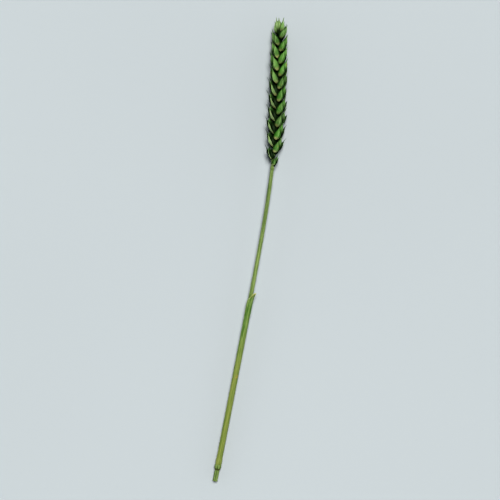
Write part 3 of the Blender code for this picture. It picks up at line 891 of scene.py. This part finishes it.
def round_line(along, radius, facing):
    """Points at a distance along the line, a radius from it and an angle round it."""
    axes, places = line_frames(along)
    across, above = radius * np.cos(facing), radius * np.sin(facing)
    return places + across[..., None] * axes[..., 0] + above[..., None] * axes[..., 2]


def wrapped_sheet(angle, along, outer, inner, up):
    """A sheet round the line. Each row of points runs out along its outer face and back along its inner
    one, and the first and the last row are closed across the wall."""
    rows, columns = outer.shape
    angles = np.concatenate((angle, angle[::-1]))
    stations = np.concatenate((along, along[:, ::-1]), axis=1)
    radius = np.concatenate((outer, inner[:, ::-1]), axis=1)
    facing = np.broadcast_to(SHEATH_SLIT_FACING + np.pi + angles, radius.shape)
    points = round_line(stations, radius, facing).reshape(-1, 3)
    uv = together(0.5 + 0.5 * angles / angle.max(), up[:, None]).reshape(-1, 2)
    around = 2 * columns
    step = np.arange(columns - 1)
    cap = together(step, around - 1 - step, around - 2 - step, step + 1)
    quads = np.concatenate((ring_quads(rows, around, 0), cap, cap[:, ::-1] + (rows - 1) * around))
    return Shape(points, quads, np.empty((0, 3), dtype=int), uv)


class WHEAT_OT_glumes(Operator):
    """Adds the two keeled outer husks of every spikelet"""

    bl_idname = "wheat.glumes"
    bl_label = "Glumes"

    def execute(self, context):
        add_scales(GLUMES)
        return {"FINISHED"}


class WHEAT_OT_florets(Operator):
    """Adds the outer and inner scale of every floret"""

    bl_idname = "wheat.florets"
    bl_label = "Florets"

    def execute(self, context):
        add_scales(LEMMAS)
        add_scales(PALEAS)
        return {"FINISHED"}


class WHEAT_OT_axis(Operator):
    """Adds the ear's zigzag axis and the core of every spikelet"""

    bl_idname = "wheat.axis"
    bl_label = "Axis"

    def execute(self, context):
        self.add_axis(context.scene.wheat_colours)
        self.add_cores()
        return {"FINISHED"}

    @staticmethod
    def add_axis(colours):
        """A flattened tube whose middle steps from side to side as a cosine of the count of spikelets,
        and whose width rises with the cube of the share of each internode, to a shoulder."""
        along = stations(AXIS_STRETCHES)
        angle = full_turn(AXIS_SIDES)
        count = (along - FIRST_SPIKELET) / INTERNODE
        step = 0.5 * ROW_OFFSET * np.cos(np.pi * count) * smooth_step(along, *AXIS_STEP_FADE)
        rise = count - np.floor(count)
        width = AXIS_HALF_WIDTH - AXIS_TIP_LOSS * along / TOP_SPIKELET + AXIS_SHOULDER * rise**3
        grown = smooth_step(along, *AXIS_FADE)
        collar = AXIS_COLLAR * np.exp(-((along / AXIS_COLLAR_REACH) ** 2))
        furrow = 1.0 + FURROW_DEPTH * np.cos(AXIS_FURROWS * angle)
        across, above = (
            (STEM_TOP_RADIUS - AXIS_SUNK + (half - STEM_TOP_RADIUS) * grown + collar)[:, None] * furrow
            for half in (AXIS_FLATNESS * width, width)
        )
        shape = stalk_tube(along, across, above, angle, along / along[-1], AXIS_ENDS, step)
        # Painted shade: the axis is coloured from the husks' deepest green to straw, and above its foot its
        # tone drops to that deep green, as it lies in shade between the spikelets
        material = stalk_material("axis_green", colours.husk_deep, colours.stem_straw, float(AXIS_FURROWS))
        tone = AXIS_FOOT_TONE - AXIS_PAINTED_SHADE * smooth_step(along, *AXIS_TONE_FADE)
        tone = np.repeat(tone, len(angle))
        looks = {"tone": np.concatenate((tone[:1], tone, tone[-1:])), "dry": 0.0}
        add_piece("ear_axis", shape, looks, material)

    @staticmethod
    def add_cores():
        """Ribbed ellipsoids, one for each spikelet: rings of the sine and the cosine of two angles, with
        a small cosine of nine times the angle round them."""
        axes, places, sizes, _ = spikelet_frames()
        share = (np.arange(CORE_RINGS) + 1.0) / (CORE_RINGS + 1.0)
        height = np.cos(np.pi * share)[:, None]
        angle = full_turn(CORE_SIDES)
        ribs = 1.0 + RIB_SHARE * np.cos(CORE_RIBS * angle + RIB_TWIST * height)
        ribbed = np.sin(np.pi * share)[:, None] * ribs
        ring = together(ribbed * np.cos(angle), 1.0 - height, ribbed * np.sin(angle)) * CORE_HALF
        rings = np.broadcast_to(ring, (len(sizes), *ring.shape))
        starts = places + np.einsum("nij,j,n->ni", axes, CORE_START, sizes)
        shape = grown_rings(rings, angle / (2.0 * np.pi), share, axes, starts, sizes)
        material = husk_material("core_chaff", float(CORE_RIBS), nerve_share=0.3)
        # Painted shade: the cores lie deep among the husks and keep only a small share of their colour
        add_piece("ear_cores", shape, {"tone": 0.35, "dry": 0.0, "bare": 0.12}, material)


class WHEAT_OT_hairs(Operator):
    """Adds the short hairs on the edges of the ear's axis, under each spikelet"""

    bl_idname = "wheat.hairs"
    bl_label = "Axis hairs"

    def execute(self, context):
        """Hairs start on the two edges of the axis, spread by fixed uneven numbers, and lean outwards."""
        look, colours = context.scene.wheat_ear, context.scene.wheat_colours
        spot = np.arange(SIDE_SPIKELETS * look.hairs)
        edge = np.where(spot % 2 == 0, 1.0, -1.0)
        along = FIRST_SPIKELET + spot // look.hairs * INTERNODE + HAIR_PATCH * uneven(spot, 41)
        axes, places = line_frames(along, ear_turn(along))
        way = (edge * (0.5 * np.pi) + HAIR_FAN * uneven(spot, 42))[:, None]
        outward = axes[..., 0] * np.cos(way) + axes[..., 2] * np.sin(way)
        starts = places + outward * (AXIS_FLATNESS * AXIS_HALF_WIDTH)
        length = look.hair_length * (1.0 - UNEVEN_HAIR + UNEVEN_HAIR * uneven(spot, 43))[:, None]
        lean = (HAIR_LEAN + UNEVEN_HAIR * uneven(spot, 44))[:, None]
        heads = (axes[..., 1] * HAIR_RISE + outward * lean) * length
        shape = self.tapered_hairs(starts, heads, axes[..., 1] * HAIR_BEND * length, rings=4, sides=3)
        material = stalk_material("hair_pale", colours.keel_pale, colours.cut_straw, ridges=3.0)
        add_piece("ear_hairs", shape, {"tone": 0.7, "dry": 0.5}, material)
        return {"FINISHED"}

    @staticmethod
    def tapered_hairs(starts, heads, bends, rings, sides):
        """Tapered curved tubes: each middle line is the start plus the head times the share of its length
        plus the bend times the share's square, and the radius falls as a root of what is left."""
        share = np.arange(rings) / rings
        way = share[:, None, None]
        middle = starts[:, None, None] + heads[:, None, None] * way + bends[:, None, None] * way**2
        side = unit(np.cross(heads, (0.31, 0.17, 0.93)))
        other = unit(np.cross(heads, side))
        angle = full_turn(sides)
        spokes = side[:, None] * np.cos(angle)[:, None] + other[:, None] * np.sin(angle)[:, None]
        tubes = middle + HAIR_RADIUS * np.sqrt(1.0 - way) * spokes[:, None]
        return closed_tubes(tubes, starts, starts + heads + bends, angle / (2.0 * np.pi), share)


class WHEAT_OT_stem(Operator):
    """Adds the ridged stem with its joint, its stub and the hollow in its cut end"""

    bl_idname = "wheat.stem"
    bl_label = "Stem"

    def execute(self, context):
        """A profile of distance and radius is carried round the line: down the outside, over the rim
        and up the hollow. Ridges add a small cosine of the angle to the outside radius, and a slow sine
        of the distance makes it uneven."""
        look, colours = context.scene.wheat_stalk, context.scene.wheat_colours
        outside = stations(STEM_STRETCHES)
        inside = np.linspace(outside[-1], STEM_ENDS[1], HOLLOW_RINGS)
        waves = sum(height * np.sin(outside * count) for height, count in STEM_WAVES)
        middle = 0.5 * (STUB_RADIUS + HOLLOW_RADIUS)
        rim = (STUB_RADIUS - RIM_BEVEL, middle, HOLLOW_RADIUS + RIM_BEVEL)
        hollow = HOLLOW_RADIUS * (1.0 - HOLLOW_LOSS * np.linspace(0.0, 1.0, HOLLOW_RINGS) ** 3)
        along = np.concatenate((outside, np.full(len(rim), -STEM_LENGTH), inside))
        radius = np.concatenate((stem_radius(outside) * (1.0 + waves), rim, hollow))
        angle = full_turn(STEM_SIDES)
        is_outside = np.arange(len(along)) < len(outside)
        on_joint = np.exp(-(((along - JOINT_AT) / JOINT_SMOOTH_REACH) ** 4))
        height = look.ridge_height * is_outside * (1.0 - JOINT_SMOOTHNESS * on_joint)
        ridge = height[:, None] * np.cos(look.stem_ridges * (angle + STEM_TWIST * along[:, None]))
        full = radius[:, None] + ridge - look.ridge_height
        shape = stalk_tube(along, full, full, angle, (along + STEM_LENGTH) / STEM_LENGTH, STEM_ENDS)
        green, straw, ridges = colours.stem_green, colours.stem_straw, float(look.stem_ridges)
        material = stalk_material("stem_straw", green, straw, ridges, marks=self.joint_rings)
        dry = np.concatenate(((0.0,), np.repeat(np.where(is_outside, 0.0, 1.0), len(angle)), (1.0,)))
        add_piece("stem_fine", shape, {"tone": 0.60, "dry": dry}, material)
        return {"FINISHED"}

    @staticmethod
    def joint_rings(tree, colour):
        """Two dark rings where the joint narrows."""
        along = use_group(tree, nearness)["along"]
        for shift in DARK_RINGS:
            centre = (JOINT_AT + shift + STEM_LENGTH) / STEM_LENGTH
            off = maths(tree, "ABSOLUTE", maths(tree, "SUBTRACT", along, centre))
            ring = maths(tree, "MULTIPLY", fade(tree, off, *DARK_RING_FADE), DARK_RING_DEPTH)
            colour = blend(tree, colour, bpy.context.scene.wheat_colours.joint_brown, ring)
        return colour


class WHEAT_OT_sheath(Operator):
    """Adds the rolled leaf sheath with its veins, its slanted top and the stub of its blade"""

    bl_idname = "wheat.sheath"
    bl_label = "Leaf sheath"

    def execute(self, context):
        """A sheet of angle and length wrapped round the line. Its top edge is a slanted cosine with
        a ragged parabola where the blade was, which also flares out. Veins are a power of a cosine of
        the angle, higher towards the top. The inner face lies under the outer one by the wall, and the
        foot swells by a sine where it sits on the joint."""
        look, colours = context.scene.wheat_stalk, context.scene.wheat_colours
        up = stations(SHEATH_STRETCHES)
        half = np.pi - SHEATH_OPENING / 2
        angle = np.linspace(-half, half, SHEATH_COLUMNS)
        blade = np.maximum(0.0, 1.0 - ((angle - BLADE_FACING) / BLADE_HALF_ANGLE) ** 2)
        ragged = SHEATH_TEAR * np.sin(23.0 * angle) * np.sin(7.0 * angle + 1.0)
        ragged = ragged + SHEATH_FRAY * np.sin(51.0 * angle)
        top = SHEATH_TOP + COLLAR_SLANT * np.cos(angle) + (BLADE_STUB + ragged) * blade
        foot = SHEATH_FOOT - FOOT_OVERLAP
        along = foot + (top - foot) * up[:, None]
        foot_share = np.clip(1.0 - (along - foot) / FOOT_SWELLING_REACH, 0.0, 1.0)
        near_top = np.clip(1.0 - (top - along) / COLLAR_FLARE_REACH, 0.0, None)
        edge = smooth_step(np.abs(angle) / half, *SHEATH_EDGE_FADE)
        wall = SHEATH_WALL * (1.0 - SHEATH_EDGE_THINNING * edge) * (1.0 - SHEATH_TOP_THINNING * near_top**2)
        vein = np.maximum(np.cos(0.5 * look.sheath_veins * angle), 0.0) ** 6
        vein = vein * look.vein_height * (0.5 + 0.5 * up[:, None])
        inner = inner_radius(along) + SHEATH_GAP + BLADE_FLARE * blade * near_top**1.6
        outer = inner + wall - look.vein_height + vein + SHEATH_WAVE * np.sin(along * 900.0 + 2.0 * angle)
        outer = outer + FOOT_SWELLING * np.sin(np.pi * foot_share**1.5) + look.vein_height * foot_share**4
        veins = look.sheath_veins * half / np.pi
        green, straw = colours.sheath_green, colours.stem_straw
        material = stalk_material("sheath_green", green, straw, veins, olive=colours.sheath_olive)
        torn_edge = np.concatenate((blade, blade[::-1])) * smooth_step(up, *TORN_FADE)[:, None]
        tone = SHEATH_TONE + SHEATH_TOP_TONE * smooth_step(up, *SHEATH_TONE_FADE)
        looks = {"tone": np.repeat(tone, 2 * len(angle)), "dry": TORN_DRYNESS * torn_edge.ravel()}
        add_piece("sheath_fine", wrapped_sheet(angle, along, outer, inner, up), looks, material)
        return {"FINISHED"}


class WHEAT_OT_ligule(Operator):
    """Adds the thin collar of skin at the top of the sheath and the two claws that clasp the stem"""

    bl_idname = "wheat.ligule"
    bl_label = "Ligule and claws"

    def execute(self, context):
        self.add_skin(context.scene.wheat_colours)
        self.add_claws(context.scene.wheat_colours)
        return {"FINISHED"}

    @staticmethod
    def add_skin(colours):
        """A thin sheet wrapped round the stem inside the sheath: its radius is the stem's plus a gap
        that widens a little to the top, and its top edge is a slanted cosine with three torn sines."""
        up = np.linspace(0.0, 1.0, LIGULE_ROWS)
        angle = np.linspace(-LIGULE_HALF_ANGLE, LIGULE_HALF_ANGLE, LIGULE_COLUMNS)
        torn = sum(height * np.sin(count * angle + phase) for height, count, phase in LIGULE_TEARS)
        collar = SHEATH_TOP + COLLAR_SLANT * np.cos(angle)
        foot = collar - LIGULE_FOOT
        top = collar + LIGULE_HEIGHT * (0.55 + 0.45 * np.cos(angle)) + torn
        along = foot + (top - foot) * up[:, None]
        wave = np.abs(LIGULE_WAVE * np.sin(13.0 * angle) * up[:, None])
        inner = inner_radius(along) + LIGULE_GAP + LIGULE_FLARE * up[:, None] + wave
        outer = inner + LIGULE_WALL * (1.0 - 0.5 * up[:, None])
        material = stalk_material("ligule_skin", colours.keel_pale, colours.cut_straw, ridges=12.0)
        shape = wrapped_sheet(angle, along, outer, inner, up)
        looks = {"tone": 0.6, "dry": np.repeat(0.35 + 0.4 * up, 2 * len(angle))}
        add_piece("sheath_ligule", shape, looks, material)

    @staticmethod
    def add_claws(colours):
        """Tapered tubes whose middle lines run round the stem from the blade's two edges: the angle and
        the height go with the share of the length, and the radius falls as a root of what is left."""
        share = np.arange(CLAW_RINGS) / CLAW_RINGS
        way = np.array((1.0, -1.0))[:, None]
        angle = BLADE_FACING + way * (CLAW_START * BLADE_HALF_ANGLE + CLAW_ANGLE * share)
        arch = CLAW_ARCH * np.sin(2.6 * share) * (1.0 - 0.3 * way)
        along = SHEATH_TOP + COLLAR_SLANT * np.cos(angle) - CLAW_DROP + arch
        out = inner_radius(along) + CLAW_OUT - CLAW_IN * share
        thick = (CLAW_RADIUS * np.sqrt(1.0 - share) * smooth_step(share, -0.35, 0.15))[:, None]
        turn = full_turn(CLAW_SIDES)
        facing = SHEATH_SLIT_FACING + np.pi + angle
        radius = out[..., None] + thick * np.cos(turn)
        height = along[..., None] + CLAW_HEIGHT * thick * np.sin(turn)
        rings = round_line(height, radius, np.broadcast_to(facing[..., None], radius.shape))
        feet, lasts = (round_line(along[:, end], out[:, end], facing[:, end]) for end in (0, -1))
        tips = lasts + (rings[:, -1].mean(axis=1) - rings[:, -2].mean(axis=1)) * CLAW_TIP_STEP
        shape = closed_tubes(rings, feet, tips, turn / (2.0 * np.pi), share)
        material = stalk_material("claw_pale", colours.sheath_green, colours.keel_pale, ridges=4.0)
        add_piece("sheath_claws", shape, {"tone": 0.75, "dry": 0.1}, material)


class WHEAT_OT_stage(Operator):
    """Adds the pale floor, the soft light and sky, and the camera that looks straight down"""

    bl_idname = "wheat.stage"
    bl_label = "Stage"

    def execute(self, context):
        stage = context.scene.wheat_stage
        self.add_floor(stage)
        self.add_key(stage)
        context.scene.world = self.studio_sky(stage)
        context.scene.view_settings.view_transform = "Standard"
        context.scene.view_settings.look = "Very High Contrast"
        self.add_camera(context.scene, stage)
        return {"FINISHED"}

    @staticmethod
    def add_floor(stage):
        corners = [(x * FLOOR_HALF, y * FLOOR_HALF, 0.0) for x, y in ((-1, -1), (1, -1), (1, 1), (-1, 1))]
        mesh = bpy.data.meshes.new("floor")
        mesh.from_pydata(corners, [], [(0, 1, 2, 3)])
        floor = bpy.data.objects.new("floor", mesh)
        bpy.context.scene.collection.objects.link(floor)
        material, tree, shader = new_material("floor_paper")
        low = [0.95 * channel for channel in stage.floor]
        colour = blend(tree, low, stage.floor, noise(tree, object_place(tree), 3.0, 2.0))
        feed_all(tree, shader, base_color=colour, roughness=0.85)
        mesh.materials.append(material)

    @staticmethod
    def studio_sky(stage):
        """Light that is brightest from low all round, so that the sides are lit, and a plain backdrop."""
        world = bpy.data.worlds.new("studio")
        world.use_nodes = True
        tree = world.node_tree
        way = add_node(tree, "ShaderNodeTexCoord").outputs["Generated"]
        height = feed_all(tree, add_node(tree, "ShaderNodeSeparateXYZ"), vector=way).outputs["Z"]
        low, high = (
            [strength * channel for channel in SKY_COLOUR] for strength in (stage.side_sky, stage.top_sky)
        )
        light = blend(tree, low, high, fade(tree, height, *SKY_FADE))
        seen = add_node(tree, "ShaderNodeLightPath").outputs["Is Camera Ray"]
        feed_all(tree, tree.nodes["Background"], color=blend(tree, light, stage.backdrop, seen))
        return world

    @staticmethod
    def add_key(stage):
        """A soft light from far away: its angle is how wide it looks from the floor."""
        light = bpy.data.lights.new("key", "SUN")
        light.angle = KEY_ANGLE
        light.energy = stage.key_strength
        light.color = KEY_COLOUR
        lamp = bpy.data.objects.new("key", light)
        bpy.context.scene.collection.objects.link(lamp)
        lamp.location = KEY_PLACE
        lamp.rotation_euler = (-Vector(KEY_PLACE)).to_track_quat("-Z", "Y").to_euler()

    @staticmethod
    def add_camera(scene, stage):
        """Straight above the middle, so far up that the object's length fills the picture's height."""
        data = bpy.data.cameras.new("camera")
        data.lens = stage.lens
        camera = bpy.data.objects.new("camera", data)
        scene.collection.objects.link(camera)
        length = SOLID_HIGH.y - SOLID_LOW.y
        height = 0.5 * length / (1.0 - stage.margin) / (0.5 * data.sensor_width / data.lens)
        middle = (SOLID_HIGH + SOLID_LOW) / 2
        camera.location = (middle.x, middle.y, height + middle.z)
        scene.camera = camera


class VIEW3D_PT_wheat(Panel):
    """Lists the settings and the steps"""

    bl_label = "Wheat ear"
    bl_space_type = "VIEW_3D"
    bl_region_type = "UI"
    bl_category = "Wheat ear"

    def draw(self, context):
        for group in GROUPS:
            box = self.layout.box()
            settings = getattr(context.scene, group)
            for name in settings.__annotations__:
                box.prop(settings, name)
        for step in OPERATORS:
            self.layout.operator(step.bl_idname)


OPERATORS = (
    WHEAT_OT_glumes,
    WHEAT_OT_florets,
    WHEAT_OT_axis,
    WHEAT_OT_hairs,
    WHEAT_OT_stem,
    WHEAT_OT_sheath,
    WHEAT_OT_ligule,
    WHEAT_OT_stage,
)
GROUPS = {
    "wheat_ear": EarLook,
    "wheat_stalk": StalkLook,
    "wheat_colours": PlantColours,
    "wheat_stage": StageLook,
}
CLASSES = (*GROUPS.values(), *OPERATORS, VIEW3D_PT_wheat)


def register():
    for made in CLASSES:
        bpy.utils.register_class(made)
    for name, group in GROUPS.items():
        setattr(bpy.types.Scene, name, PointerProperty(type=group))


def unregister():
    for name in GROUPS:
        delattr(bpy.types.Scene, name)
    for made in reversed(CLASSES):
        bpy.utils.unregister_class(made)


def main():
    register()
    bpy.ops.wheat.glumes()
    bpy.ops.wheat.florets()
    bpy.ops.wheat.axis()
    bpy.ops.wheat.hairs()
    bpy.ops.wheat.stem()
    bpy.ops.wheat.sheath()
    bpy.ops.wheat.ligule()
    bpy.ops.wheat.stage()


if __name__ == "__main__":
    main()
